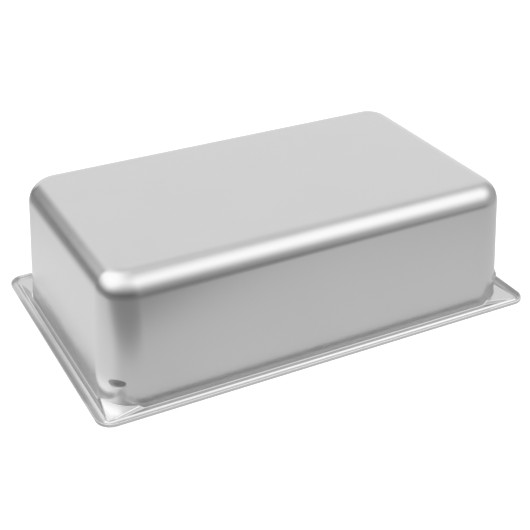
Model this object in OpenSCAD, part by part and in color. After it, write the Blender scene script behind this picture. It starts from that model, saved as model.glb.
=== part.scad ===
// Full-size steam table pan, drawn from one sheet and standing upside down on its rim.
// X runs along the long side and Z points up. The mouth lies on the plane z = 0.

/* [Overall size] */
// Length over the rim
rim_l = 530; // [400:1:700]
// Width over the rim
rim_w = 327; // [250:1:450]
// Height from the rim plane to the outside of the bottom
pan_h = 148.7; // [90:0.1:200]
// Thickness of the sheet
sheet = 0.8; // [0.6:0.05:1]

/* [Body] */
// Outer radius of the upright corners, on the rim plane
corner_r = 43.5; // [41:0.5:60]
// Lean of the walls from upright, in degrees
draft = 3.8; // [1:0.1:5]
// Outer radius of the bend between the walls and the bottom
base_r = 27.3; // [15:0.1:31]
// Hollow radius of the bend between the walls and the flange
fillet_r = 2; // [0.8:0.1:3]

/* [Rim] */
// Distance from the lip's outer face to the wall, on the rim plane
rim_reach = 15.2; // [14.8:0.1:20]
// Radius of the rim's outer corners
rim_corner_r = 17.3; // [14:0.1:24]
// Height of the lip above the rim plane
lip_h = 4.2; // [3:0.1:8]
// Outer radius of the bend under the lip
lip_bend_r = 1.6; // [1.2:0.1:2.4]
// Distance from the lip's outer face to the end of the flat gutter floor
gutter_in = 6.0; // [5.6:0.1:6.4]
// Hollow radius where the gutter floor starts to rise
gutter_r = 1.5; // [1:0.1:2]
// Slope of the rise from the gutter floor to the ridge, in degrees
gutter_rise = 38; // [32:1:44]
// Distance from the lip's outer face to the ridge
ridge_in = 8.2; // [7.9:0.1:8.6]
// Radius over the top of the ridge
ridge_r = 1.1; // [1:0.1:1.3]
// Slope of the ridge's inner side, in degrees
ridge_slope = 50; // [35:1:60]
// Hollow radius at the foot of the ridge
ridge_foot_r = 0.8; // [0.4:0.1:1]

/* [Corner flats] */
// Distance from the lip's outer faces to the tip of the raised flat
flat_tip_in = 8.7; // [8.3:0.1:11]
// Angle between a wall's end and the near end of the raised flat, in degrees
flat_end_a = 14; // [6:1:25]
// Rise of the flat from its tip towards the wall, in degrees
flat_tilt = 3.5; // [1:0.1:4]
// Steepness of the two creases beside the flat, in degrees
crease_a = 64; // [40:1:75]

/* [Stacking lugs] */
// Height of the lug's proud line above the rim plane
lug_z = 26.5; // [15:0.5:40]
// How far the lug stands out from the corner
lug_out = 2.6; // [1:0.1:4]
// Length of the gentle slope above the proud line
lug_above = 8; // [4:0.5:15]
// Length of the short slope below the proud line
lug_below = 3; // [2:0.5:6]
// Plan radius of the lug's nose
lug_r = 13; // [8:0.5:18]

/* [Hidden] */
$fn = 96;
// Distance in plan from the lip's outer face to the axis of an upright corner
axis_in = rim_reach + corner_r;
axis_x = rim_l / 2 - axis_in;
axis_y = rim_w / 2 - axis_in;
rim_axis_x = rim_l / 2 - rim_corner_r;
rim_axis_y = rim_w / 2 - rim_corner_r;
// From a corner's axis to the axis of the rim's corner, along X and along Y
rim_axis_d = axis_in - rim_corner_r;

// Section points are [out, up], with out measured from the lip's outer face and negative inside it.
// The wall's outer line passes through [-rim_reach, 0] and leans inwards as it rises.
normal = [cos(draft), sin(draft)];
// To a thousandth of a millimetre, so that pieces drawn about different centres share their edges
function whole(v) = round(1000 * v) / 1000;
function wall_out(z) = -rim_reach - z * tan(draft);
fillet_z = sheet + fillet_r;
fillet_x = whole(wall_out(fillet_z) + fillet_r / cos(draft));
base_z = pan_h - base_r;
base_x = wall_out(base_z) - base_r / cos(draft);
wall_foot = [fillet_x, fillet_z] - fillet_r * normal;
wall_top = [base_x, base_z] + base_r * normal;

// The gutter is flat, then rises steeply to the ridge, which drops as steeply to the landing.
rise_normal = [sin(gutter_rise), cos(gutter_rise)];
rise_foot = [-gutter_in, sheet + gutter_r] - gutter_r * rise_normal;
rise_top = [-ridge_in, rise_foot.y + (ridge_in + rise_foot.x) * tan(gutter_rise)];
ridge_x = rise_top.x - ridge_r * rise_normal.x;
ridge_z = rise_top.y - ridge_r * rise_normal.y;
ridge_top = ridge_z + ridge_r;
foot_z = sheet + ridge_foot_r;
drop = ridge_z + ridge_r * cos(ridge_slope) - foot_z + ridge_foot_r * cos(ridge_slope);
foot_x = whole(ridge_x - (ridge_r + ridge_foot_r) * sin(ridge_slope) - drop / tan(ridge_slope));
// Largest turn between two points of the rim's narrow bends, in degrees
bend_step = 15;

// The raised flat's tip and its near end, seen from a corner's axis
flat_tip = axis_in - flat_tip_in;
flat_end = corner_r * [cos(flat_end_a), sin(flat_end_a)];
flat_run = (2 * flat_tip - flat_end.x - flat_end.y) / sqrt(2);
flat_end_z = ridge_top + flat_run * tan(flat_tilt);
crease_dir = flat_end - [flat_tip, flat_tip];
crease_turn = atan2(crease_dir.y, crease_dir.x);
crease_rise = atan((flat_end_z - ridge_top) / norm(crease_dir));

// Larger than any piece of a corner
reach = 2 * axis_in;
// Cuts run past the faces that they cut by this much
over = 1;

// Sides and corners are made on the right and at the back right, and turned into place.
function is_end(side) = side == "left" || side == "right";
function side_turn(side) = side == "right" ? 0 : side == "back" ? 90 : side == "left" ? 180 : 270;
function side_out(side) = is_end(side) ? rim_l / 2 : rim_w / 2;
function side_run(side) = is_end(side) ? axis_y : axis_x;
function rim_run(side) = is_end(side) ? rim_axis_y : rim_axis_x;
function corner_turn(x, y) = x > 0 ? (y > 0 ? 0 : 270) : (y > 0 ? 90 : 180);

module along_side(side, run) {
    rotate([0, 0, side_turn(side)])
        translate([side_out(side), 0, 0])
            rotate([90, 0, 0])
                linear_extrude(2 * run, center = true)
                    children();
}

module at_corner(x, y) {
    translate([x * axis_x, y * axis_y, 0])
        rotate([0, 0, corner_turn(x, y)])
            children();
}

module round_corner() {
    rotate_extrude(angle = 90)
        translate([axis_in, 0])
            children();
}

// A band between two radii about a centre, from one angle to a larger one less than 180 degrees on
module band(centre, inner, outer, from, to) {
    far = 2 * outer;
    middle = (from + to) / 2;
    translate(centre)
        intersection() {
            difference() {
                circle(outer);
                circle(inner);
            }
            polygon([
                [0, 0],
                far * [cos(from), sin(from)],
                2 * far * [cos(middle), sin(middle)],
                far * [cos(to), sin(to)]
            ]);
        }
}

// Points of an arc, in steps of at most bend_step degrees
function arc(centre, r, from, to) =
    let (steps = ceil(abs(to - from) / bend_step))
        [for (i = [0:steps]) let (a = from + (to - from) * i / steps) centre + r * [cos(a), sin(a)]];

module wall_section() {
    polygon([wall_foot, wall_top, wall_top - sheet * normal, wall_foot - sheet * normal]);
}

module base_bend_section() {
    band([base_x, base_z], base_r - sheet, base_r, draft, 90);
}

module fillet_section() {
    band([fillet_x, fillet_z], fillet_r, fillet_r + sheet, 180 + draft, 270);
}

module landing_section() {
    polygon([[fillet_x, 0], [foot_x, 0], [foot_x, sheet], [fillet_x, sheet]]);
}

// The lip, gutter and ridge in one line of sheet: along its underside to the lip, and back over its top
module rim_section() {
    outside = sheet / 2;
    polygon(concat(
        arc([foot_x, foot_z], ridge_foot_r + sheet, 270, 270 + ridge_slope),
        arc([ridge_x, ridge_z], ridge_r - sheet, 90 + ridge_slope, 90 - gutter_rise),
        arc([-gutter_in, sheet + gutter_r], gutter_r + sheet, 270 - gutter_rise, 270),
        arc([-lip_bend_r, lip_bend_r], lip_bend_r, 270, 360),
        arc([-outside, lip_h - outside], outside, 0, 180),
        arc([-lip_bend_r, lip_bend_r], lip_bend_r - sheet, 360, 270),
        arc([-gutter_in, sheet + gutter_r], gutter_r, 270, 270 - gutter_rise),
        arc([ridge_x, ridge_z], ridge_r, 90 - gutter_rise, 90 + ridge_slope),
        arc([foot_x, foot_z], ridge_foot_r, 270 + ridge_slope, 270)
    ));
}

// Everything under a plane through the origin that lies this deep below it
module under_plane(depth) {
    translate([-2 * reach, -2 * reach, -4 * reach - depth])
        cube(4 * reach);
}

// The raised flat as a solid block, cut back on all faces by depth
module flat_block(depth) {
    intersection() {
        translate([flat_tip, flat_tip, ridge_top])
            rotate([0, 0, 225])
                rotate([0, -flat_tilt, 0])
                    under_plane(depth);
        crease(depth);
        mirror([1, -1, 0])
            crease(depth);
        translate([0, 0, -over])
            cube([reach, reach, reach]);
    }
}

// Everything under the crease that starts at the flat's tip, cut back by depth
module crease(depth) {
    translate([flat_tip, flat_tip, ridge_top])
        rotate([0, 0, crease_turn])
            rotate([0, -crease_rise, 0])
                rotate([-crease_a, 0, 0])
                    under_plane(depth);
}

// The cone that the outside of an upright corner lies on
module corner_cone(z_low, z_high) {
    translate([0, 0, z_low])
        cylinder(z_high - z_low, axis_in + wall_out(z_low), axis_in + wall_out(z_high));
}

// The narrow flat between the foot of the ridge and the hollow bend, taken round a corner
module landing_corner() {
    edge = axis_in + foot_x;
    difference() {
        union() {
            cube([edge, rim_axis_d, sheet]);
            cube([rim_axis_d, edge, sheet]);
            translate([rim_axis_d, rim_axis_d, 0])
                cylinder(sheet, r = rim_corner_r + foot_x);
        }
        translate([0, 0, -over])
            cylinder(sheet + 2 * over, r = axis_in + fillet_x);
    }
}

module bottom_panel() {
    long = axis_x + axis_in + base_x;
    wide = axis_y + axis_in + base_x;
    color("silver")
        translate([0, 0, pan_h - sheet]) {
            translate([-long, -axis_y, 0])
                cube([2 * long, 2 * axis_y, sheet]);
            translate([-axis_x, -wide, 0])
                cube([2 * axis_x, 2 * wide, sheet]);
            for (x = [-1, 1], y = [-1, 1])
                translate([x * axis_x, y * axis_y, 0])
                    cylinder(sheet, r = axis_in + base_x);
        }
}

module bottom_bend(side) {
    color("silver")
        along_side(side, side_run(side))
            base_bend_section();
}

module bottom_corner(x, y) {
    color("silver")
        at_corner(x, y)
            round_corner()
                base_bend_section();
}

module wall(side) {
    color("silver")
        along_side(side, side_run(side))
            wall_section();
}

module corner_post(x, y) {
    color("silver")
        at_corner(x, y)
            round_corner()
                wall_section();
}

module flange(side) {
    color("gainsboro") {
        along_side(side, rim_run(side))
            rim_section();
        along_side(side, side_run(side)) {
            fillet_section();
            landing_section();
        }
    }
}

module flange_corner(x, y) {
    color("gainsboro")
        at_corner(x, y) {
            difference() {
                union() {
                    round_corner()
                        fillet_section();
                    landing_corner();
                    translate([rim_axis_d, rim_axis_d, 0])
                        rotate_extrude(angle = 90)
                            translate([rim_corner_r, 0])
                                rim_section();
                }
                flat_block(sheet);
            }
            difference() {
                flat_block(0);
                flat_block(sheet);
                corner_cone(-2 * over, pan_h);
                translate([-reach, -reach, -2 * reach])
                    cube(2 * reach);
            }
        }
}

module stacking_lug(x, y) {
    top_z = lug_z + lug_above;
    low_z = lug_z - lug_below;
    nose = axis_in + wall_out(lug_z) + lug_out;
    heart = nose - lug_r;
    top_r = axis_in + wall_out(top_z) - heart;
    low_r = axis_in + wall_out(low_z) - heart;
    color("silver")
        at_corner(x, y)
            difference() {
                rotate([0, 0, 45])
                    translate([heart, 0, 0]) {
                        translate([0, 0, lug_z])
                            cylinder(lug_above, lug_r, top_r);
                        translate([0, 0, low_z])
                            cylinder(lug_below, low_r, lug_r);
                    }
                corner_cone(low_z - over, top_z + over);
            }
}

bottom_panel();
bottom_bend("front");  // bottom_bend_front
bottom_bend("back");  // bottom_bend_back
bottom_bend("left");  // bottom_bend_left
bottom_bend("right");  // bottom_bend_right
bottom_corner(-1, -1);  // bottom_corner_front_left
bottom_corner(1, -1);  // bottom_corner_front_right
bottom_corner(-1, 1);  // bottom_corner_back_left
bottom_corner(1, 1);  // bottom_corner_back_right
wall("front");  // wall_front
wall("back");  // wall_back
wall("left");  // wall_left
wall("right");  // wall_right
corner_post(-1, -1);  // corner_post_front_left
corner_post(1, -1);  // corner_post_front_right
corner_post(-1, 1);  // corner_post_back_left
corner_post(1, 1);  // corner_post_back_right
flange("front");  // flange_front
flange("back");  // flange_back
flange("left");  // flange_left
flange("right");  // flange_right
flange_corner(-1, -1);  // flange_corner_front_left
flange_corner(1, -1);  // flange_corner_front_right
flange_corner(-1, 1);  // flange_corner_back_left
flange_corner(1, 1);  // flange_corner_back_right
stacking_lug(-1, -1);  // stacking_lug_front_left
stacking_lug(1, -1);  // stacking_lug_front_right
stacking_lug(-1, 1);  // stacking_lug_back_left
stacking_lug(1, 1);  // stacking_lug_back_right
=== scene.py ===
"""A steam table pan pressed from one sheet, standing upside down on its rim, with a plain studio round it.

The sheet is pressed first, as one smooth surface. Each piece is then cut out of it and given its thickness,
so that the pieces meet without a seam. Lengths are in metres.
"""

import math

import bmesh
import bpy
from mathutils import Matrix, Vector


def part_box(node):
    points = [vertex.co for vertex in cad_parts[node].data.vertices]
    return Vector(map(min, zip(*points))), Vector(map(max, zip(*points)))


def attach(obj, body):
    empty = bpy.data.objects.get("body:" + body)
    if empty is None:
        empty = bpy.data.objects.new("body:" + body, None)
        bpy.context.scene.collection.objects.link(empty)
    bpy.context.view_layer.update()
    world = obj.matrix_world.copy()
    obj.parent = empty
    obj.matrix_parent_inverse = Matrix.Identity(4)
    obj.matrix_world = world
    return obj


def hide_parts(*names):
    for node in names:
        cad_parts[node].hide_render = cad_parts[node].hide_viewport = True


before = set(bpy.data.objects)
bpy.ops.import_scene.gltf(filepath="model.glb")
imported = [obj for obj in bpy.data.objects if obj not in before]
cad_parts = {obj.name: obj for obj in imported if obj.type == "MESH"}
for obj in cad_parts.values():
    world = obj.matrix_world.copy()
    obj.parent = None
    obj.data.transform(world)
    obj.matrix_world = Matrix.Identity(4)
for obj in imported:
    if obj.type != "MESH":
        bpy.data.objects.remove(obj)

bl_info = {
    "name": "Steam table pan",
    "version": (1, 0, 0),
    "blender": (4, 5, 0),
    "location": "View3D > Sidebar > Pan",
    "description": "Presses a deep catering pan from one sheet of steel",
    "category": "Add Mesh",
}

MM = 0.001
QUARTER_TURN = math.radians(90)
EIGHTH_TURN = math.radians(45)
SIDES = ("front", "back", "left", "right")
CORNERS = ("front_left", "front_right", "back_left", "back_right")
SHEET_MESH = "pressed_sheet"
FINISHES = {"drawn_steel": "satin_walls", "rim_steel": "satin_flange"}

# Steps that each run and bend of the section is drawn in
STEPS = {
    "lip": 4, "lip_bend": 8, "gutter": 2, "gutter_bend": 4, "rise": 6, "ridge": 10, "drop": 2,
    "ridge_foot": 6, "landing": 36, "fillet": 14, "below_lug": 8, "lug": 32, "above_lug": 24, "base": 60,
}
# Columns that the section is swept in: beside the rim's corner, round it, and along half a side
STRAIGHT_COLUMNS = 40
RIM_COLUMNS = 40
SIDE_COLUMNS = 8

LUG_MARGIN = 2 * MM
LUG_HALF_ANGLE = math.radians(15)
BOTTOM_BAND = 2 * MM
SHARP_ANGLE = math.radians(40)
SAME_HEIGHT = 0.001 * MM
SAME_PLACE = 0.01 * MM

# Painted light, which is below 0 where shade is painted into the steel's colour and above 0 where a
# highlight is painted.
# A pair is for the front and the back, or for the left wall's middle and its front post. The foot's reach
# is how much further round the corners the foot's painted highlight goes than the left lip's painted shade.
PAINTED_LIGHT = "painted_light"
LIP_PAINTED_HIGHLIGHT = (1.5, 2.4)
LEFT_LIP_PAINTED_SHADE = -2.3
LIP_EDGE_DEPTH = 0.3 * MM
RIDGE_PAINTED_HIGHLIGHT = (0.1, 1.6)
RIDGE_HIGHLIGHT_FROM, RIDGE_HIGHLIGHT_TO = 20 * MM, 100 * MM
LANDING_PAINTED_SHADE = -1.0
FLAT_PAINTED_HIGHLIGHT = 1.0
FOOT_PAINTED_HIGHLIGHT = (1.6, 1.4)
FOOT_MIDDLE = (24 * MM, 17 * MM)
FOOT_SPREAD = (11 * MM, 12 * MM)
FOOT_REACH = 1.6
LUG_PAINTED_SHADE = -1.7

# Shares of a size: where the left wall's foot turns into the post's, and how wide a lug's painted shade
# spreads
POST_FROM, POST_TO = 0.5, 1.12
LUG_SHADE_ACROSS, LUG_SHADE_ALONG = 0.5, 0.35

# The left side of the rim, where it gives way to the front and the back, and how much of its painted shade
# is left at the corners
LEFT_SOFT = 8 * MM
SHADE_AT_CORNER = 0.5
SHADE_CORNER_REACH = 15 * MM

# Shares of the gutter's and the ridge's places between which the left ridge is moved inwards
GUTTER_STAYS = 0.5
RIDGE_MOVES_FROM, RIDGE_MOVES_TO = 0.7, 1.25

# Each layer of noise has a scale and a detail, and changes the tone and the roughness by its share
CLOUDS, PATCHES, GRAIN = (14, 3), (60, 4), (1400, 2)
WALL_SEED, RIM_SEED = 3.0, 8.0
TONE_SHARES = (0.6, 0.3, 0.2)
ROUGH_SHARES = (0.05, 0.05, 0.04)
TONE_RANGE = 0.045
GRAIN_BUMP = 0.03
GRAIN_DEPTH = 0.05 * MM

FILM_WIDTH = 36
CAMERA_REACH = 50
TABLE_HALF_SIZE = 6
MATT_WHITE = (0.8, 0.8, 0.8, 1)
# How far past the table's near edge the floor has taken over
FLOOR_FROM = 500 * MM
# Turns and heights of the studio's edges, in radians
SIDE_SOFT = 0.2
BACKDROP_SOFT = 0.07
OVERHEAD = math.radians(89)
TABLE_RIGHT = (math.radians(35), math.radians(75))
TABLE_FRONT_LEFT = (math.radians(-151), math.radians(-139))
TABLE_FRONT_RIGHT = (math.radians(90), math.radians(130))
TABLE_FAR_SIDES = (math.radians(36), math.radians(46))


def length(name, description, default):
    return bpy.props.FloatProperty(
        name=name, description=description, default=default * MM, unit="LENGTH", precision=5)


def angle(name, description, default):
    return bpy.props.FloatProperty(
        name=name, description=description, default=math.radians(default), subtype="ANGLE")


def angles(name, description, default):
    return bpy.props.FloatVectorProperty(
        name=name, description=description, default=[math.radians(d) for d in default],
        size=len(default), unit="ROTATION")


def level(name, description, default):
    return bpy.props.FloatProperty(name=name, description=description, default=default, min=0)


def levels(name, description, default):
    return bpy.props.FloatVectorProperty(
        name=name, description=description, default=default, size=len(default), min=0)


class PanSizes(bpy.types.PropertyGroup):
    """Sizes of the pan. Its length, width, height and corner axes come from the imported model."""

    sheet: length("Sheet", "Thickness of the sheet", 0.8)
    draft: angle("Draft", "Lean of the walls from upright", 3.8)
    base_r: length("Bottom bend", "Outer radius between the walls and the bottom", 27.3)
    fillet_r: length("Flange fillet", "Hollow radius between the walls and the flange", 0.9)
    rim_reach: length("Flange width", "From the lip's outer face to the wall, on the rim plane", 15.2)
    lip_h: length("Lip height", "Height of the lip above the rim plane", 4.2)
    lip_bend_r: length("Lip bend", "Outer radius of the bend under the lip", 1.1)
    gutter_in: length("Gutter floor", "From the lip's outer face to the end of the flat gutter floor", 5.2)
    gutter_r: length("Gutter radius", "Hollow radius where the gutter floor starts to rise", 3)
    left_gutter: length("Left gutter", "How much wider the gutter is along the left side", 1.1)
    gutter_rise: angle("Gutter rise", "Slope from the gutter floor to the ridge", 38)
    ridge_in: length("Ridge", "From the lip's outer face to the ridge", 8.1)
    ridge_r: length("Ridge radius", "Radius over the top of the ridge", 0.9)
    ridge_slope: angle("Ridge slope", "Slope of the ridge's inner side", 50)
    ridge_foot_r: length("Ridge foot", "Hollow radius at the foot of the ridge", 0.8)
    ridge_corner: bpy.props.FloatProperty(
        name="Ridge corner", description="Roundness of the ridge's corner, where 1 is the lip's roundness",
        subtype="FACTOR", default=0.4)
    flat_tip_in: length("Flat's tip", "From the lip's outer faces to the tip of the raised flat", 8.0)
    flat_end: angle("Flat's end", "From a wall's end to the near end of the raised flat", 14)
    flat_tilt: angle("Flat's tilt", "Rise of the flat from its tip towards the wall", 3.5)
    crease_a: angle("Crease", "Steepness of the two creases beside the flat", 60)
    crease_soft: length("Crease softness", "Depth over which the creases are rounded", 0.4)
    flat_fillet_r: length("Flat's fillet", "Hollow radius between the raised flat and the wall", 0.9)
    lug_z: length("Lug height", "Height of the stacking lug's proud line", 27.2)
    lug_out: length("Lug reach", "How far a lug stands out from its corner", 2.6)
    lug_above: length("Lug top slope", "Length of the slope above the proud line", 6.9)
    lug_below: length("Lug foot slope", "Length of the slope below the proud line", 3)
    lug_half_w: length("Lug half width", "From a lug's middle to its end, round the corner", 10.1)
    lug_soft: length("Lug softness", "Depth over which the lug's edge is rounded", 0.4)
    lip_edge_r: length("Lip edge", "Radius along the lip's free edge", 0.38)


class SteelFinish(bpy.types.PropertyGroup):
    """Finish of the steel."""

    colour: bpy.props.FloatVectorProperty(
        name="Steel", description="Colour of the clean steel", subtype="COLOR",
        default=(0.63, 0.63, 0.63), min=0, max=1)
    # Strength of the painted light: painted highlights lighten the lip, the ridge, the front left raised
    # flat and the left wall's foot, and painted shade darkens the left lip, the landing and the lugs
    painted_light: bpy.props.FloatProperty(
        name="Burnish", description="How far wear lightens the lip and the foot, and dulls the hollows",
        subtype="FACTOR", default=0.25)
    roughness: bpy.props.FloatProperty(
        name="Roughness", description="Roughness of the drawn walls", subtype="FACTOR", default=0.25)
    rim_roughness: bpy.props.FloatProperty(
        name="Rim roughness", description="Roughness of the pressed flange", subtype="FACTOR", default=0.2)


class StudioLook(bpy.types.PropertyGroup):
    """Camera and light levels. A level of 1 is white."""

    azimuth: bpy.props.FloatProperty(
        name="Azimuth", description="Turn of the camera round the pan", subtype="ANGLE",
        default=math.radians(-27.461))
    elevation: bpy.props.FloatProperty(
        name="Elevation", description="Height of the camera above the horizon", subtype="ANGLE",
        default=math.radians(30.036))
    distance: bpy.props.FloatProperty(
        name="Distance", description="From the camera to its target", unit="LENGTH", default=1.30515)
    target: bpy.props.FloatVectorProperty(
        name="Target", description="Point at the middle of the picture", subtype="XYZ", unit="LENGTH",
        default=(0.002105, 0.000037, 0.03524))
    lens: bpy.props.FloatProperty(
        name="Lens", description="Focal length for a 36 mm frame, in millimetres", default=75.0)

    backdrop: level("Backdrop", "The backdrop behind the pan", 0.98)
    backdrop_edge: angles(
        "Backdrop's edges", "Turn to the backdrop's left and right edge", (41, 35.5))
    dip: level("Dip", "Above the backdrop, before the overhead light", 0.8)
    dip_from: angle("Dip from", "Height where the backdrop starts to fade", 44)
    dip_to: angle("Dip to", "Height where the backdrop has faded", 59)
    gap: levels("Gaps", "Above the dark gap on the left and right of the backdrop", (1.12, 0.78))
    gap_from: angle("Gap from", "Height where the gaps start to brighten", 15)
    gap_to: angle("Gap to", "Height where the gaps are bright", 38)
    horizon: levels(
        "Horizon", "Horizon on the left, on the right and behind the camera", (0.168, 0.55, 0.135))
    light: levels(
        "Light", "Soft light on the left, on the right and behind the camera", (1.58, 1.58, 1.42))
    light_turn: angles(
        "Light's near edge", "Turn from the backdrop to the light, left and right", (57.5, 71.5))
    light_blend: angles("Light's near blend", "Half width of that edge, left and right", (5, 21))
    light_low: angles("Light's height", "Lower edge of the light, left, right and behind", (14, 24, 35))
    light_soft: angles(
        "Light's blend", "Half width of the lower edge, left, right and behind", (18, 16, 34))
    behind_from: angles(
        "Behind from", "Turn where the room behind the camera starts, left and right", (112, 110))
    behind_to: angles("Behind to", "Turn where the room behind is reached, left and right", (180, 164))
    zenith: level("Zenith", "Straight overhead", 1.12)
    zenith_tilt: level(
        "Zenith tilt", "How much brighter the left of the zenith is than its right", 1.0)
    zenith_from: angle("Zenith from", "Height where the zenith starts", 51)
    table: levels(
        "Table", "The table on the left, on the right and in front of the pan", (0.97, 0.77, 0.77))
    table_far: levels("Far table", "The far table on the left and on the right", (0.36, 0.55))
    table_end: levels(
        "Table's end", "The table just past its near edge, and the floor beyond", (0.35, 0.24))
    table_near: length("Table near", "From the pan's centre to where the table starts to fade", 310)
    table_reach: length("Table reach", "From the pan's centre to where the table has faded", 980)
    table_edge: length("Table edge", "From the pan's centre to the table's near edge", 372)
    table_soft: length("Table softness", "Half width of the near edge", 45)
    table_glow: level("Table glow", "Light added to the table as the camera sees it", 0.55)


def sizes():
    return bpy.context.scene.pan_sizes


def blend(share, first, second):
    """From first to second. It takes numbers, and the sockets of a shader too."""
    return first + share * (second - first)


def share_between(value, start, end):
    """0 before the start and 1 past the end, with an even change between them."""
    return min(max((value - start) / (end - start), 0), 1)


def ease(share):
    """The same share with a soft start and a soft end."""
    return share * share * (3 - 2 * share)


def soft_max(a, b, soft):
    """The larger of two values, rounded where they are closer than this."""
    near = max(soft - abs(a - b), 0) / soft
    return max(a, b) + near * near * soft / 4


def soft_min(a, b, soft):
    return -soft_max(-a, -b, soft)


class Section:
    """Places worked out from the sizes. A section point is (out, up), with out negative inside the lip."""

    def __init__(self, s):
        self.s = s
        self.half_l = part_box("flange_right")[1].x
        self.half_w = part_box("flange_back")[1].y
        self.pan_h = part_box("bottom_panel")[1].z
        self.axis_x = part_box("wall_front")[1].x
        self.axis_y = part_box("wall_right")[1].y
        self.axis_in = self.half_l - self.axis_x
        self.rim_axis_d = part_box("flange_front")[1].x - self.axis_x
        self.rim_corner_r = self.axis_in - self.rim_axis_d
        self.normal = Vector((math.cos(s.draft), math.sin(s.draft)))
        self.fillet_x, self.fillet_z, self.wall_foot = self.fillet(s.sheet, s.fillet_r)
        base_z = self.pan_h - s.base_r
        self.base = Vector((self.wall_out(base_z) - s.base_r / math.cos(s.draft), base_z))
        self.wall_top = self.base + s.base_r * self.normal
        rise_normal = Vector((math.sin(s.gutter_rise), math.cos(s.gutter_rise)))
        rise_foot = Vector((-s.gutter_in, s.sheet + s.gutter_r)) - s.gutter_r * rise_normal
        rise = (s.ridge_in + rise_foot.x) * math.tan(s.gutter_rise)
        self.rise_top = Vector((-s.ridge_in, rise_foot.y + rise))
        self.ridge = self.rise_top - s.ridge_r * rise_normal
        self.ridge_top = self.ridge.y + s.ridge_r
        slope_normal = Vector((-math.sin(s.ridge_slope), math.cos(s.ridge_slope)))
        drop_top = self.ridge + s.ridge_r * slope_normal
        foot_z = s.sheet + s.ridge_foot_r
        drop = drop_top.y - foot_z + s.ridge_foot_r * slope_normal.y
        foot_x = drop_top.x - drop / math.tan(s.ridge_slope) + s.ridge_foot_r * slope_normal.x
        self.foot = Vector((foot_x, foot_z))
        self.drop_foot = self.foot - s.ridge_foot_r * slope_normal
        self.flat_tip = self.axis_in - s.flat_tip_in
        corner_r = self.axis_in - s.rim_reach
        self.flat_end = corner_r * Vector((math.cos(s.flat_end), math.sin(s.flat_end)))
        self.crease = self.flat_end - Vector((self.flat_tip, self.flat_tip))
        end_rise = self.slope_from_tip(self.flat_end) - self.ridge_top
        self.crease_rise = end_rise / self.crease.length

    def wall_out(self, up):
        return -self.s.rim_reach - up * math.tan(self.s.draft)

    def fillet(self, floor, radius):
        """Centre and wall end of the hollow bend that joins the wall to a floor at this height."""
        up = floor + radius
        out = self.wall_out(up) + radius / math.cos(self.s.draft)
        return out, up, Vector((out, up)) - radius * self.normal

    def slope_from_tip(self, p):
        """Height of the raised flat's plane over a plan point measured from the corner's axis."""
        run = (2 * self.flat_tip - p.x - p.y) / math.sqrt(2)
        return self.ridge_top + run * math.tan(self.s.flat_tilt)

    def slope_of_crease(self, p):
        """Height of the plane that falls away from the crease on the flat's near side."""
        from_tip = p - Vector((self.flat_tip, self.flat_tip))
        along = from_tip.dot(self.crease.normalized())
        inside = from_tip.cross(self.crease.normalized())
        return self.ridge_top + along * self.crease_rise + inside * math.tan(self.s.crease_a)

    def flat_height(self, p):
        """Height of the raised flat and its creases over a plan point measured from the corner's axis."""
        soft = self.s.crease_soft
        creases = soft_min(self.slope_of_crease(p), self.slope_of_crease(p.yx), soft)
        return soft_min(self.slope_from_tip(p), creases, soft)


class SectionPen:
    """Draws the sheet's line on the plane through a corner's axis, from vertex to vertex."""

    def __init__(self, bm, section, start):
        self.bm = bm
        self.section = section
        self.tip = bm.verts.new(self.place(start))

    def place(self, point):
        return Vector((self.section.half_l + point[0], self.section.axis_y, point[1]))

    def sweep(self, steps, **move):
        made = bmesh.ops.spin(self.bm, geom=[self.tip], steps=steps, axis=(0, 1, 0), **move)
        self.tip = made["geom_last"][0]

    def run(self, end, steps):
        """A straight run to a point."""
        step = (self.place(end) - self.tip.co) / steps
        self.sweep(steps, cent=(0, 0, 0), dvec=step, angle=0)

    def bend(self, centre, turn, steps):
        """A round bend about a centre, where a positive turn goes from out to up."""
        self.sweep(steps, cent=self.place(centre), dvec=(0, 0, 0), angle=-turn)


def lug_span(s):
    """Lowest and highest edge of the part of the wall that a lug is pressed into."""
    return s.lug_z - s.lug_below - LUG_MARGIN, s.lug_z + s.lug_above + LUG_MARGIN


def draw_section(bm, section):
    """Draws the section from the lip's free edge, down and up over the ridge, to the edge of the bottom."""
    s = section.s
    low, high = lug_span(s)
    pen = SectionPen(bm, section, (-s.sheet, s.lip_h))
    pen.run((-s.sheet, s.lip_bend_r), STEPS["lip"])
    pen.bend((-s.lip_bend_r, s.lip_bend_r), -QUARTER_TURN, STEPS["lip_bend"])
    pen.run((-s.gutter_in, s.sheet), STEPS["gutter"])
    pen.bend((-s.gutter_in, s.sheet + s.gutter_r), -s.gutter_rise, STEPS["gutter_bend"])
    pen.run(section.rise_top, STEPS["rise"])
    pen.bend(section.ridge, s.gutter_rise + s.ridge_slope, STEPS["ridge"])
    pen.run(section.drop_foot, STEPS["drop"])
    pen.bend(section.foot, -s.ridge_slope, STEPS["ridge_foot"])
    pen.run((section.fillet_x, s.sheet), STEPS["landing"])
    pen.bend((section.fillet_x, section.fillet_z), s.draft - QUARTER_TURN, STEPS["fillet"])
    for up, part in ((low, "below_lug"), (high, "lug"), (section.wall_top.y, "above_lug")):
        pen.run((section.wall_out(up), up), STEPS[part])
    pen.bend(section.base, QUARTER_TURN - s.draft, STEPS["base"])


def turn_round_corner(bm, section):
    """Sweeps the section round the back right corner and along half of the two sides beside it."""
    line = list(bm.verts) + list(bm.edges)
    columns = 2 * STRAIGHT_COLUMNS + RIM_COLUMNS
    made = bmesh.ops.spin(
        bm, geom=line, steps=columns, axis=(0, 0, 1), angle=QUARTER_TURN,
        cent=(section.axis_x, section.axis_y, 0), dvec=(0, 0, 0))
    return line, made["geom_last"]


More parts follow.
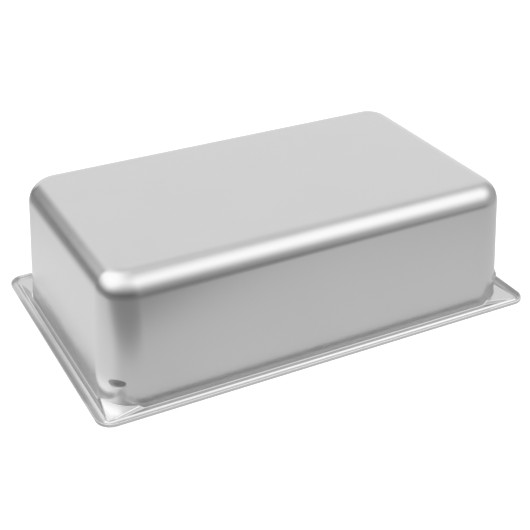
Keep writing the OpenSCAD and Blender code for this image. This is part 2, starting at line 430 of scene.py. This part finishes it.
def run_along_sides(bm, section, right_end, back_end):
    """Runs the ends of the swept corner along the right side and the back, up to the middle planes."""
    for line, step in (
        (right_end, (0, -section.axis_y / SIDE_COLUMNS, 0)),
        (back_end, (-section.axis_x / SIDE_COLUMNS, 0, 0)),
    ):
        bmesh.ops.spin(
            bm, geom=line, steps=SIDE_COLUMNS, axis=(0, 0, 1), angle=0, cent=(0, 0, 0), dvec=step)


def rim_place(section, share, out):
    """Plan point of the rim at a share of the way round the corner, measured from the corner's axis."""
    straight = STRAIGHT_COLUMNS / (2 * STRAIGHT_COLUMNS + RIM_COLUMNS)
    if share > 0.5:
        return rim_place(section, 1 - share, out).yx
    if share <= straight:
        return Vector((section.axis_in + out, share / straight * section.rim_axis_d))
    angle = QUARTER_TURN * (share - straight) / (1 - 2 * straight)
    centre = Vector((section.rim_axis_d, section.rim_axis_d))
    inward = share_between(out, -section.s.lip_bend_r, section.ridge.x)
    power = blend(inward, 1, section.s.ridge_corner)
    square = Vector((math.cos(angle) ** power, math.sin(angle) ** power))
    return centre + (section.rim_corner_r + out) * square


class CornerColumn:
    """One upright slice of a corner: where the wall, the landing and the raised flat lie at this turn."""

    def __init__(self, section, turn):
        s = section.s
        self.section = section
        self.ray = Vector((math.cos(turn), math.sin(turn)))
        self.share = turn / QUARTER_TURN
        near_wall = (section.axis_in + section.fillet_x) * self.ray
        self.floor = soft_max(s.sheet, section.flat_height(near_wall), s.crease_soft)
        raised = share_between(self.floor, s.sheet, 3 * s.sheet)
        self.radius = blend(ease(raised), s.fillet_r, s.flat_fillet_r)
        self.fillet_x, self.fillet_z, self.wall_foot = section.fillet(self.floor, self.radius)

    def place(self, out, up):
        """Plan point and height, measured from the corner's axis, of a point on the drawn section."""
        section = self.section
        s = section.s
        if out >= section.foot.x:
            plan = rim_place(section, self.share, out)
            if up > s.lip_bend_r or out > -s.gutter_in:
                return plan, up
            return plan, soft_max(up, section.flat_height(plan), s.crease_soft / 2)
        if out > section.fillet_x:
            share = (out - section.fillet_x) / (section.foot.x - section.fillet_x)
            near = (section.axis_in + self.fillet_x) * self.ray
            plan = near.lerp(rim_place(section, self.share, section.foot.x), share)
            height = soft_max(up, section.flat_height(plan), s.crease_soft)
            return plan, blend(min(share * STEPS["landing"], 1), self.floor, height)
        if up <= section.wall_foot.y:
            from_centre = (Vector((out, up)) - Vector((section.fillet_x, section.fillet_z))) / s.fillet_r
            point = Vector((self.fillet_x, self.fillet_z)) + self.radius * from_centre
            return (section.axis_in + point.x) * self.ray, point.y
        lug_low = lug_span(s)[0]
        if up < lug_low:
            share = (up - section.wall_foot.y) / (lug_low - section.wall_foot.y)
            up = blend(share, self.wall_foot.y, lug_low)
            out = section.wall_out(up)
        return (section.axis_in + self.pressed_out(out, up)) * self.ray, up

    def pressed_out(self, out, up):
        """The wall's line with the stacking lug pressed out of it."""
        section = self.section
        s = section.s
        low, high = lug_span(s)
        turn = math.atan2(self.ray.y, self.ray.x) - EIGHTH_TURN
        across = (section.axis_in + out) * turn / s.lug_half_w
        if not (low < up < high and abs(across) < 1):
            return out
        rise = s.lug_above / 2 * math.sqrt(1 - across * across)
        middle = s.lug_z + s.lug_above / 2
        above = (middle + rise - up) * s.lug_out / s.lug_above
        reach = 2 * rise * s.lug_out / s.lug_above
        below = reach - (middle - rise - up) * s.lug_out / s.lug_below
        return out + soft_max(0, soft_min(above, below, s.lug_soft), s.lug_soft)


def shape_corner(bm, section, out_layer, up_layer):
    """Moves the swept corner's vertices to the square rim, the raised flat and the lug."""
    columns = {}
    axis = Vector((section.axis_x, section.axis_y))
    for v in bm.verts:
        from_axis = v.co.xy - axis
        turn = round(math.atan2(from_axis.y, from_axis.x), 7)
        if turn not in columns:
            columns[turn] = CornerColumn(section, turn)
        plan, up = columns[turn].place(v[out_layer], v[up_layer])
        v.co = Vector((*(axis + plan), up))


def share_left(section, place):
    """1 along the left of the rim and 0 along the other sides, with a soft change across the corners."""
    beyond = -place.x - section.axis_x - abs(place.y) + section.axis_y
    return share_between(beyond, -LEFT_SOFT, LEFT_SOFT)


def share_left_shade(section, place):
    """How much of the left lip's painted shade is left at a place, which is less round the corners."""
    round_corner = share_between(abs(place.y), section.axis_y, section.axis_y + SHADE_CORNER_REACH)
    return share_left(section, place) * blend(round_corner, 1, SHADE_AT_CORNER)


def widen_left_gutter(bm, section, out_layer):
    """Moves the ridge along the left side inwards, where the gutter is wider than on the other sides."""
    s = section.s
    for v in bm.verts:
        inward = -v[out_layer]
        rise = share_between(inward, GUTTER_STAYS * s.gutter_in, RIDGE_MOVES_FROM * s.ridge_in)
        fall = share_between(inward, -section.fillet_x, RIDGE_MOVES_TO * s.ridge_in)
        v.co.x += s.left_gutter * share_left(section, v.co) * ease(min(rise, fall))


def near_lug_middle(section, place, up):
    """1 in the middle of a stacking lug's slope, falling to 0 round it, where the lug's painted shade lies.
    """
    s = section.s
    arm = Vector((abs(place.x) - section.axis_x, abs(place.y) - section.axis_y))
    if arm.x <= 0 or arm.y <= 0:
        return 0
    turn = math.atan2(arm.y, arm.x) - EIGHTH_TURN
    across = arm.length * turn / (LUG_SHADE_ACROSS * s.lug_half_w)
    along = (up - s.lug_z - s.lug_above / 2) / (LUG_SHADE_ALONG * s.lug_above)
    return math.exp(-across * across - along * along)


def wall_painted_light(section, place, up):
    """Painted highlight at the foot of the left wall and of its front post, and painted shade in the middle
    of each lug.
    """
    to_post = share_between(-place.y / section.axis_y, POST_FROM, POST_TO)
    rise = (up - blend(to_post, *FOOT_MIDDLE)) / blend(to_post, *FOOT_SPREAD)
    left = min(FOOT_REACH * share_left(section, place), 1)
    foot = left * blend(to_post, *FOOT_PAINTED_HIGHLIGHT) * math.exp(-rise * rise)
    return foot + LUG_PAINTED_SHADE * near_lug_middle(section, place, up)


# Painted highlight along the lip, stronger towards the back
def lip_painted_highlight(section, place):
    to_back = (place.y + section.half_w) / (2 * section.half_w)
    return blend(to_back, *LIP_PAINTED_HIGHLIGHT)


def landing_painted_light(section, place, up):
    """Painted shade on the flange's floor, none on the raised flats, and a painted highlight on the front
    left one.
    """
    flat_highlight = FLAT_PAINTED_HIGHLIGHT if place.x < 0 and place.y < 0 else 0
    return blend(share_between(place.z - up, 0, section.s.sheet), LANDING_PAINTED_SHADE, flat_highlight)


def gutter_painted_light(section, place, out):
    """Painted shade along the left side's gutter, giving way to a painted highlight towards its ridge and
    the back.
    """
    s = section.s
    ridge = blend(share_between(place.y, RIDGE_HIGHLIGHT_FROM, RIDGE_HIGHLIGHT_TO), *RIDGE_PAINTED_HIGHLIGHT)
    to_ridge = share_between(-out, s.lip_bend_r, s.ridge_in)
    return share_left_shade(section, place) * blend(to_ridge, LEFT_LIP_PAINTED_SHADE, ridge)


def back_face_painted_light(section, place, out):
    """Painted shade on the outside of the left lip, and a painted highlight along the lip's free edge and
    inside the pan.
    """
    s = section.s
    left = share_left_shade(section, place) if out > -s.lip_bend_r else 0
    bright = place.z > s.lip_h - LIP_EDGE_DEPTH
    return left * LEFT_LIP_PAINTED_SHADE + bright * (1 - left) * LIP_PAINTED_HIGHLIGHT[0]


def paint_light_on_sheet(bm, section, out_layer, up_layer):
    """Writes on each vertex the painted highlight or painted shade that lightens or darkens the sheet's
    colour.
    """
    painted_light_layer = bm.verts.layers.float[PAINTED_LIGHT]
    s = section.s
    for v in bm.verts:
        out, up = v[out_layer], v[up_layer]
        if out <= section.fillet_x:
            painted_light = wall_painted_light(section, v.co, up)
        elif up > s.lip_bend_r and out > -s.lip_bend_r:
            painted_light = lip_painted_highlight(section, v.co)
        elif out < section.drop_foot.x:
            painted_light = landing_painted_light(section, v.co, up)
        else:
            painted_light = gutter_painted_light(section, v.co, out)
        v[painted_light_layer] = painted_light


def mirror_quarters(bm):
    """Makes the whole sheet from its back right quarter."""
    for axis in "XY":
        bmesh.ops.mirror(
            bm, geom=list(bm.verts) + list(bm.edges) + list(bm.faces), matrix=Matrix.Identity(4),
            merge_dist=SAME_PLACE, axis=axis)


def close_bottom(bm, section):
    """Fills the flat bottom, with a narrow band along its edge that keeps the middle flat."""
    top = section.pan_h - SAME_HEIGHT
    ring = [e for e in bm.edges if e.is_boundary and all(v.co.z > top for v in e.verts)]
    bottom = bmesh.ops.edgeloop_fill(bm, edges=ring)["faces"]
    bmesh.ops.inset_region(bm, faces=bottom, thickness=BOTTOM_BAND, use_even_offset=True)


def press_sheet():
    """Presses the whole sheet as one smooth surface, and keeps it for the pieces to be cut from."""
    section = Section(sizes())
    bm = bmesh.new()
    out_layer = bm.verts.layers.float.new("out")
    up_layer = bm.verts.layers.float.new("up")
    bm.verts.layers.float.new(PAINTED_LIGHT)
    normal_layer = bm.verts.layers.float_vector.new("sheet_normal")
    draw_section(bm, section)
    for v in bm.verts:
        v[out_layer] = v.co.x - section.half_l
        v[up_layer] = v.co.z
    right_end, back_end = turn_round_corner(bm, section)
    shape_corner(bm, section, out_layer, up_layer)
    run_along_sides(bm, section, right_end, back_end)
    mirror_quarters(bm)
    widen_left_gutter(bm, section, out_layer)
    paint_light_on_sheet(bm, section, out_layer, up_layer)
    close_bottom(bm, section)
    bmesh.ops.recalc_face_normals(bm, faces=bm.faces)
    highest = max(bm.faces, key=lambda f: f.calc_center_median().z)
    if highest.normal.z < 0:
        bmesh.ops.reverse_faces(bm, faces=bm.faces)
    bm.normal_update()
    for v in bm.verts:
        v[normal_layer] = v.normal
    name_regions(bm, section, out_layer, up_layer)
    mesh = bpy.data.meshes.new(SHEET_MESH)
    bm.to_mesh(mesh)
    bm.free()


def region_names():
    """The names of the pieces, in the order that numbers the sheet's regions."""
    bends = [f"bottom_bend_{side}" for side in SIDES]
    corners = [f"bottom_corner_{corner}" for corner in CORNERS]
    walls = [f"wall_{side}" for side in SIDES]
    posts = [f"corner_post_{corner}" for corner in CORNERS]
    flanges = [f"flange_{side}" for side in SIDES]
    flange_corners = [f"flange_corner_{corner}" for corner in CORNERS]
    lugs = [f"stacking_lug_{corner}" for corner in CORNERS]
    return ["bottom_panel", *bends, *corners, *walls, *posts, *flanges, *flange_corners, *lugs]


def name_regions(bm, section, out_layer, up_layer):
    """Writes on each face the number of the piece that it belongs to."""
    names = region_names()
    region_layer = bm.faces.layers.int.new("region")
    for face in bm.faces:
        outs = [v[out_layer] for v in face.verts]
        ups = [v[up_layer] for v in face.verts]
        out = (min(outs) + max(outs)) / 2
        up = (min(ups) + max(ups)) / 2
        face[region_layer] = names.index(region_of(section, face.calc_center_median(), out, up))


def region_of(section, centre, out, up):
    """The piece that a face belongs to, by its middle and its place on the section."""
    if up > section.pan_h - SAME_HEIGHT:
        return "bottom_panel"
    on_rim = out > section.foot.x
    limit = section.rim_axis_d if on_rim else 0
    past_x = abs(centre.x) > section.axis_x + limit
    past_y = abs(centre.y) > section.axis_y + limit
    side_x = "left" if centre.x < 0 else "right"
    side_y = "front" if centre.y < 0 else "back"
    at_corner = past_x and past_y
    where = f"{side_y}_{side_x}" if at_corner else side_x if past_x else side_y
    if out > section.wall_foot.x:
        return f"flange_corner_{where}" if at_corner else f"flange_{where}"
    if up > section.wall_top.y:
        return f"bottom_corner_{where}" if at_corner else f"bottom_bend_{where}"
    if not at_corner:
        return f"wall_{where}"
    on_lug = in_lug(section, centre, up)
    return f"stacking_lug_{where}" if on_lug else f"corner_post_{where}"


def in_lug(section, centre, up):
    low, high = lug_span(section.s)
    turn = math.atan2(abs(centre.y) - section.axis_y, abs(centre.x) - section.axis_x)
    return low < up < high and abs(turn - EIGHTH_TURN) < LUG_HALF_ANGLE


def cut_piece(node):
    """Cuts one piece out of the pressed sheet and gives it the sheet's thickness."""
    region = region_names().index(node)
    bm = bmesh.new()
    bm.from_mesh(bpy.data.meshes[SHEET_MESH])
    region_layer = bm.faces.layers.int["region"]
    rest = [f for f in bm.faces if f[region_layer] != region]
    bmesh.ops.delete(bm, geom=rest, context="FACES")
    thicken(bm)
    if node.startswith("flange"):
        round_lip_edge(bm)
    mesh = bpy.data.meshes.new("sheet_" + node)
    bm.to_mesh(mesh)
    bm.free()
    keep_sheet_normals(mesh)
    piece = bpy.data.objects.new("sheet_" + node, mesh)
    bpy.context.scene.collection.objects.link(piece)
    return piece


def thicken(bm):
    """Leaves the pressed face in place, adds the sheet's other face behind it, and closes the edges."""
    section = Section(sizes())
    normal_layer = bm.verts.layers.float_vector["sheet_normal"]
    painted_light_layer = bm.verts.layers.float[PAINTED_LIGHT]
    out_layer = bm.verts.layers.float["out"]
    skin_layer = bm.faces.layers.int.new("skin")
    inner = list(bm.faces)
    made = bmesh.ops.extrude_face_region(bm, geom=inner, use_keep_orig=True)
    outer = [f for f in made["geom"] if isinstance(f, bmesh.types.BMFace)]
    outer_verts = {v for f in outer for v in f.verts}
    for v in bm.verts:
        if v not in outer_verts:
            # Painted shade and painted highlight for the sheet's other face
            v[painted_light_layer] = back_face_painted_light(section, v.co, v[out_layer])
            v.co -= section.s.sheet * v[normal_layer]
    for face in bm.faces:
        face[skin_layer] = 0
        face.smooth = True
    for face in inner:
        face[skin_layer] = -1
    for face in outer:
        face[skin_layer] = 1
    bmesh.ops.recalc_face_normals(bm, faces=bm.faces)


def round_lip_edge(bm):
    """Rounds the two long edges of the lip's free edge."""
    skin_layer = bm.faces.layers.int["skin"]
    top = sizes().lip_h - SAME_PLACE
    strip = [f for f in bm.faces if f[skin_layer] == 0 and all(v.co.z > top for v in f.verts)]
    edges = {e for f in strip for e in f.edges if any(g[skin_layer] for g in e.link_faces)}
    made = bmesh.ops.bevel(
        bm, geom=list(edges), offset=sizes().lip_edge_r, segments=4, profile=0.5, affect="EDGES",
        material=-1)
    for face in made["faces"]:
        face[skin_layer] = 0


def keep_sheet_normals(mesh):
    """Shades both skins by the pressed sheet's own normals, so that neighbours meet without a seam."""
    normals = [Vector(n.vector) for n in mesh.attributes["sheet_normal"].data]
    skins = [skin.value for skin in mesh.attributes["skin"].data]
    corner_normals = [Vector()] * len(mesh.loops)
    for polygon in mesh.polygons:
        skin = skins[polygon.index]
        for i in polygon.loop_indices:
            corner_normals[i] = skin * normals[mesh.loops[i].vertex_index] if skin else Vector()
    for name in ("sheet_normal", "skin", "out", "up", "region"):
        mesh.attributes.remove(mesh.attributes[name])
    mesh.set_sharp_from_angle(angle=SHARP_ANGLE)
    mesh.normals_split_custom_set(corner_normals)


class Wire:
    """A socket whose sums and products add Math nodes."""

    def __init__(self, graph, socket):
        self.graph = graph
        self.socket = socket

    def __add__(self, other):
        return self.graph.maths("ADD", self, other)

    def __radd__(self, other):
        return self.graph.maths("ADD", other, self)

    def __sub__(self, other):
        return self.graph.maths("SUBTRACT", self, other)

    def __rsub__(self, other):
        return self.graph.maths("SUBTRACT", other, self)

    def __mul__(self, other):
        return self.graph.maths("MULTIPLY", self, other)

    def __rmul__(self, other):
        return self.graph.maths("MULTIPLY", other, self)


class Graph:
    """The nodes of one material or world."""

    def __init__(self, owner):
        owner.use_nodes = True
        self.tree = owner.node_tree
        self.tree.nodes.clear()

    def add(self, kind, settings=None, inputs=None, output=0):
        """A node of this kind. Its settings are set first, then its sockets get values or links."""
        node = self.tree.nodes.new(kind)
        for name, value in (settings or {}).items():
            setattr(node, name, value)
        for name, value in (inputs or {}).items():
            if isinstance(value, Wire):
                self.tree.links.new(value.socket, node.inputs[name])
            else:
                node.inputs[name].default_value = value
        return Wire(self, node.outputs[output]) if len(node.outputs) else node

    def maths(self, operation, *values):
        return self.add("ShaderNodeMath", {"operation": operation}, dict(enumerate(values)))

    def step(self, value, low, high):
        """A smooth step from 0 to 1 while the value goes from low to high."""
        return self.add(
            "ShaderNodeMapRange", {"interpolation_type": "SMOOTHSTEP"},
            {"Value": value, "From Min": low, "From Max": high})

    def noise(self, place, scale, detail, seed):
        return self.add(
            "ShaderNodeTexNoise", {"noise_dimensions": "4D"},
            {"Vector": place, "W": seed, "Scale": scale, "Detail": detail})

    def dot(self, vector, direction):
        return self.add(
            "ShaderNodeVectorMath", {"operation": "DOT_PRODUCT"}, {0: vector, 1: direction},
            output="Value")

    def mix(self, share, first, second):
        """Colours, from first to second."""
        node = self.tree.nodes.new("ShaderNodeMix")
        node.data_type = "RGBA"
        for socket, value in ((node.inputs[0], share), (node.inputs[6], first), (node.inputs[7], second)):
            if isinstance(value, Wire):
                self.tree.links.new(value.socket, socket)
            else:
                socket.default_value = value
        return Wire(self, node.outputs[2])


def uneven(middle, layers, shares):
    """A value that each layer of noise raises and lowers about its middle."""
    value = middle
    for layer, share in zip(layers, shares):
        value = value + share * (layer - 0.5)
    return value


def satin_steel(name, roughness, seed):
    """Steel with a fine grain, faint clouds from drawing, small changes of polish, and painted highlight
    and painted shade.
    """
    finish = bpy.context.scene.pan_finish
    material = bpy.data.materials.new(name)
    graph = Graph(material)
    place = graph.add("ShaderNodeTexCoord", output="Object")
    layers = [graph.noise(place, *layer, seed + i) for i, layer in enumerate((CLOUDS, PATCHES, GRAIN))]
    dark = [(1 - TONE_RANGE) * c for c in finish.colour] + [1]
    light = [(1 + TONE_RANGE) * c for c in finish.colour] + [1]
    # The painted-light attribute scales the colour: a painted highlight where it is above 0, painted shade
    # where it is below 0
    painted_light = graph.add("ShaderNodeAttribute", {"attribute_name": PAINTED_LIGHT}, output="Fac")
    colour = graph.add(
        "ShaderNodeVectorMath", {"operation": "SCALE"}, {
            "Vector": graph.mix(uneven(0.5, layers, TONE_SHARES), dark, light),
            "Scale": 1.0 + finish.painted_light * painted_light})
    rough = uneven(roughness, layers, ROUGH_SHARES)
    bump = graph.add(
        "ShaderNodeBump", None,
        {"Strength": GRAIN_BUMP, "Distance": GRAIN_DEPTH, "Height": layers[-1]})
    surface = graph.add(
        "ShaderNodeBsdfPrincipled", None,
        {"Base Color": colour, "Metallic": 1.0, "Roughness": rough, "Normal": bump})
    graph.add("ShaderNodeOutputMaterial", None, {"Surface": surface})


def finish_piece(piece, node, slot):
    """Gives a cut piece its steel, hangs it from the root, and hides the node of the model that it stands
    for.
    """
    piece.data.materials.append(bpy.data.materials[FINISHES[slot]])
    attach(piece, "root")
    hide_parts(node)


def cut_group(prefix, names, slot):
    """Cuts the pieces that share a kind, one for each side or corner."""
    for name in names:
        node = prefix + name
        finish_piece(cut_piece(node), node, slot)


class PAN_OT_press_sheet(bpy.types.Operator):
    """Presses the sheet and mixes the steel for all the pieces"""

    bl_idname = "pan.press_sheet"
    bl_label = "Press the sheet"

    def execute(self, context):
        finish = context.scene.pan_finish
        press_sheet()
        satin_steel(FINISHES["drawn_steel"], finish.roughness, WALL_SEED)
        satin_steel(FINISHES["rim_steel"], finish.rim_roughness, RIM_SEED)
        return {"FINISHED"}


class PAN_OT_bottom_panel(bpy.types.Operator):
    """Cuts the flat bottom"""

    bl_idname = "pan.bottom_panel"
    bl_label = "Bottom panel"

    def execute(self, context):
        cut_group("", ["bottom_panel"], "drawn_steel")
        return {"FINISHED"}


class PAN_OT_bottom_bends(bpy.types.Operator):
    """Cuts the bends along the bottom's four sides"""

    bl_idname = "pan.bottom_bends"
    bl_label = "Bottom bends"

    def execute(self, context):
        cut_group("bottom_bend_", SIDES, "drawn_steel")
        return {"FINISHED"}


class PAN_OT_bottom_corners(bpy.types.Operator):
    """Cuts the round corners of the bottom"""

    bl_idname = "pan.bottom_corners"
    bl_label = "Bottom corners"

    def execute(self, context):
        cut_group("bottom_corner_", CORNERS, "drawn_steel")
        return {"FINISHED"}


class PAN_OT_walls(bpy.types.Operator):
    """Cuts the four leaning walls"""

    bl_idname = "pan.walls"
    bl_label = "Walls"

    def execute(self, context):
        cut_group("wall_", SIDES, "drawn_steel")
        return {"FINISHED"}


class PAN_OT_corner_posts(bpy.types.Operator):
    """Cuts the upright round corners between the walls"""

    bl_idname = "pan.corner_posts"
    bl_label = "Corner posts"

    def execute(self, context):
        cut_group("corner_post_", CORNERS, "drawn_steel")
        return {"FINISHED"}


class PAN_OT_stacking_lugs(bpy.types.Operator):
    """Cuts the lugs that are pressed out of the corners and keep stacked pans apart"""

    bl_idname = "pan.stacking_lugs"
    bl_label = "Stacking lugs"

    def execute(self, context):
        cut_group("stacking_lug_", CORNERS, "drawn_steel")
        return {"FINISHED"}


class PAN_OT_flanges(bpy.types.Operator):
    """Cuts the flange along the four sides, with its ridge, gutter and lip"""

    bl_idname = "pan.flanges"
    bl_label = "Flanges"

    def execute(self, context):
        cut_group("flange_", SIDES, "rim_steel")
        return {"FINISHED"}


class PAN_OT_flange_corners(bpy.types.Operator):
    """Cuts the flange's corners, with their raised flats"""

    bl_idname = "pan.flange_corners"
    bl_label = "Flange corners"

    def execute(self, context):
        cut_group("flange_corner_", CORNERS, "rim_steel")
        return {"FINISHED"}


def away_from_camera(look):
    """Level direction from the camera to the pan."""
    return Vector((-math.sin(look.azimuth), math.cos(look.azimuth), 0))


def right_of_camera(look):
    return Vector((math.cos(look.azimuth), math.sin(look.azimuth), 0))


def hang_camera(look):
    back = Vector((0, 0, math.sin(look.elevation))) - math.cos(look.elevation) * away_from_camera(look)
    data = bpy.data.cameras.new("camera")
    data.sensor_width = FILM_WIDTH
    data.lens = look.lens
    data.clip_end = CAMERA_REACH
    camera = bpy.data.objects.new("camera", data)
    camera.location = Vector(look.target) + look.distance * back
    camera.rotation_euler = back.to_track_quat("Z", "Y").to_euler()
    bpy.context.scene.collection.objects.link(camera)
    bpy.context.scene.camera = camera


class Surroundings:
    """Brightness that the steel mirrors, by the turn to the left or right of the view and by height."""

    def __init__(self, graph, look, direction):
        self.graph = graph
        self.look = look
        self.ahead = graph.dot(direction, away_from_camera(look))
        self.right = graph.dot(direction, right_of_camera(look))
        self.turn = graph.maths("ARCTAN2", self.right, self.ahead)
        self.turned = graph.maths("ABSOLUTE", self.turn)
        self.on_right = graph.step(self.turn, -SIDE_SOFT, SIDE_SOFT)

    def side(self, pair):
        """The first value on the left of the view and the second on its right."""
        return blend(self.on_right, pair[0], pair[1])

    def sky(self, up):
        """Brightness above the horizon, in a direction that rises by this much."""
        graph, look = self.graph, self.look
        height = graph.maths("ARCSINE", up)
        behind = graph.step(self.turned, self.side(look.behind_from), self.side(look.behind_to))

        def round_about(triple):
            return blend(behind, self.side(triple), triple[2])

        horizon = round_about(look.horizon)
        low, soft = round_about(look.light_low), round_about(look.light_soft)
        lit = blend(graph.step(height, low - soft, low + soft), horizon, round_about(look.light))
        backdrop = blend(graph.step(height, look.dip_from, look.dip_to), look.backdrop, look.dip)
        gap = blend(graph.step(height, look.gap_from, look.gap_to), horizon, self.side(look.gap))
        edge = self.side(look.backdrop_edge)
        past_edge = graph.step(self.turned, edge - BACKDROP_SOFT, edge + BACKDROP_SOFT)
        backdrop = blend(past_edge, backdrop, gap)
        near, wide = self.side(look.light_turn), self.side(look.light_blend)
        sky = blend(graph.step(self.turned, near - wide, near + wide), backdrop, lit)
        zenith = look.zenith - look.zenith_tilt * self.right
        return blend(graph.step(height, look.zenith_from, OVERHEAD), sky, zenith)

    def table(self, place):
        """Brightness of the table at a place, whose direction from the pan's centre was given."""
        graph, look = self.graph, self.look
        away = graph.add("ShaderNodeVectorMath", {"operation": "LENGTH"}, {0: place}, output="Value")
        on_right = graph.step(self.turn, *TABLE_RIGHT)
        table = blend(on_right, look.table[0], look.table[1])
        front_left = 1.0 - graph.step(self.turn, *TABLE_FRONT_LEFT)
        front_right = graph.step(self.turn, *TABLE_FRONT_RIGHT)
        table = blend(front_left + front_right, table, look.table[2])
        far = blend(on_right, look.table_far[0], look.table_far[1])
        far = blend(graph.step(self.turned, *TABLE_FAR_SIDES), 1.0, far)
        table = blend(graph.step(away, look.table_near, look.table_reach), table, far)
        past = -1.0 * self.ahead - look.table_edge
        table = blend(graph.step(past, -look.table_soft, look.table_soft), table, look.table_end[0])
        return blend(graph.step(past, look.table_soft, FLOOR_FROM), table, look.table_end[1])


def light_world(look):
    """A white backdrop, large soft lights on both sides and overhead, and a dark room behind the camera."""
    world = bpy.data.worlds.new("studio")
    bpy.context.scene.world = world
    graph = Graph(world)
    ray = graph.add("ShaderNodeTexCoord", output="Generated")
    brightness = Surroundings(graph, look, ray).sky(graph.dot(ray, (0, 0, 1)))
    seen = graph.add("ShaderNodeLightPath", output="Is Camera Ray")
    sky = graph.add("ShaderNodeBackground", None, {"Color": blend(seen, brightness, 1.0)})
    graph.add("ShaderNodeOutputWorld", None, {"Surface": sky})


def table_material(look):
    """A white table that keeps the pan's soft shadow, and that the steel mirrors as less even."""
    material = bpy.data.materials.new("table")
    graph = Graph(material)
    place = graph.add("ShaderNodeTexCoord", output="Object")
    camera = graph.add("ShaderNodeLightPath", output="Is Camera Ray")
    glossy = graph.add("ShaderNodeLightPath", output="Is Glossy Ray")
    matt = graph.add("ShaderNodeBsdfDiffuse", None, {"Color": MATT_WHITE})
    glow = graph.add("ShaderNodeEmission", None, {"Color": camera * look.table_glow})
    seen = graph.add("ShaderNodeAddShader", None, {0: matt, 1: glow})
    brightness = Surroundings(graph, look, place).table(place)
    mirrored = graph.add("ShaderNodeEmission", None, {"Color": brightness})
    surface = graph.add("ShaderNodeMixShader", None, {0: glossy, 1: seen, 2: mirrored})
    graph.add("ShaderNodeOutputMaterial", None, {"Surface": surface})
    return material


def lay_floor(look):
    bm = bmesh.new()
    bmesh.ops.create_grid(bm, x_segments=1, y_segments=1, size=TABLE_HALF_SIZE)
    mesh = bpy.data.meshes.new("table")
    bm.to_mesh(mesh)
    bm.free()
    mesh.materials.append(table_material(look))
    table = bpy.data.objects.new("table", mesh)
    bpy.context.scene.collection.objects.link(table)


class PAN_OT_stage(bpy.types.Operator):
    """Sets up the camera, the table and the studio light"""

    bl_idname = "pan.stage"
    bl_label = "Stage"

    def execute(self, context):
        look = context.scene.pan_studio
        hang_camera(look)
        light_world(look)
        lay_floor(look)
        context.scene.view_settings.view_transform = "Standard"
        return {"FINISHED"}


OPERATORS = (
    PAN_OT_press_sheet,
    PAN_OT_bottom_panel,
    PAN_OT_bottom_bends,
    PAN_OT_bottom_corners,
    PAN_OT_walls,
    PAN_OT_corner_posts,
    PAN_OT_stacking_lugs,
    PAN_OT_flanges,
    PAN_OT_flange_corners,
    PAN_OT_stage,
)


class PAN_PT_panel(bpy.types.Panel):
    """Lists the pan's pieces"""

    bl_label = "Steam table pan"
    bl_space_type = "VIEW_3D"
    bl_region_type = "UI"
    bl_category = "Pan"

    def draw(self, context):
        for operator in OPERATORS:
            self.layout.operator(operator.bl_idname)
        for pointer in GROUPS:
            group = getattr(context.scene, pointer)
            box = self.layout.box()
            for name in group.__annotations__:
                box.prop(group, name)


GROUPS = {"pan_sizes": PanSizes, "pan_finish": SteelFinish, "pan_studio": StudioLook}


def register():
    for cls in (*GROUPS.values(), *OPERATORS, PAN_PT_panel):
        bpy.utils.register_class(cls)
    for name, group in GROUPS.items():
        setattr(bpy.types.Scene, name, bpy.props.PointerProperty(type=group))


def unregister():
    for name in GROUPS:
        delattr(bpy.types.Scene, name)
    for cls in reversed((*GROUPS.values(), *OPERATORS, PAN_PT_panel)):
        bpy.utils.unregister_class(cls)


def main():
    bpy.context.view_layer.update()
    register()
    for operator in OPERATORS:
        family, name = operator.bl_idname.split(".")
        getattr(getattr(bpy.ops, family), name)()
    bpy.data.meshes.remove(bpy.data.meshes[SHEET_MESH])


if __name__ == "__main__":
    main()
